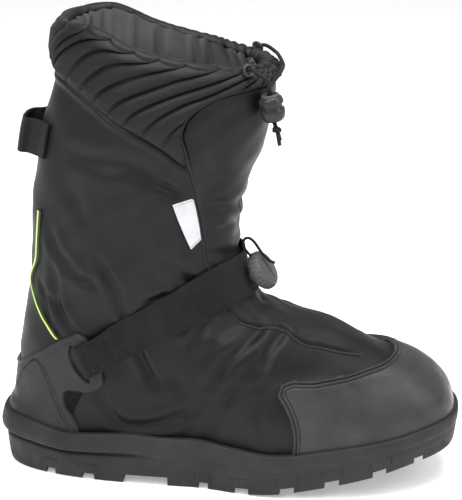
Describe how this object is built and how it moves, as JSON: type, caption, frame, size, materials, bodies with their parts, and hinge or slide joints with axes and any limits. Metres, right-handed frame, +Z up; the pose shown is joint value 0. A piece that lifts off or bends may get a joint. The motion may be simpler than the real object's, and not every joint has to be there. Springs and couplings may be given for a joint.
{
  "type": "winter overshoe",
  "caption": "Tall insulated winter overshoe with a moulded cup sole, quilted collar, rubber toe cap and heel counter, instep strap and drawcord.",
  "frame": {"origin": "centre of the tread's resting plane under the overshoe's bounding box", "axes": "+X from heel to toe, +Z up, -Y to the lateral (outer) side of this right boot"},
  "size_m": [0.3288, 0.1212, 0.3271],
  "materials": {
    "sole_rubber": "moulded, matt",
    "insole_felt": "felt",
    "shell_nylon": "coated plain weave",
    "quilt_nylon": "quilted",
    "cap_rubber": "moulded, satin",
    "counter_rubber": "moulded, satin",
    "webbing": "flat webbing",
    "grey_plastic": "moulded, knurled",
    "cord": "braided elastic",
    "reflective_piping": "reflective",
    "label_white": "woven satin",
    "eyelet_black": "moulded"
  },
  "bodies": {
    "root": {"outsole": "sole_rubber", "insole": "insole_felt", "upper": "shell_nylon", "quilted_collar": "quilt_nylon", "toe_cap": "cap_rubber", "heel_counter": "counter_rubber", "instep_strap": "webbing", "strap_button": "grey_plastic", "strap_cord": "cord", "pull_loop": "webbing", "piping_lateral": "reflective_piping", "piping_medial": "reflective_piping", "side_label": "label_white", "eyelet_lateral": "eyelet_black", "eyelet_medial": "eyelet_black", "drawcord_lateral": "cord", "drawcord_medial": "cord", "cord_lock": "grey_plastic"}
  },
  "joints": []
}
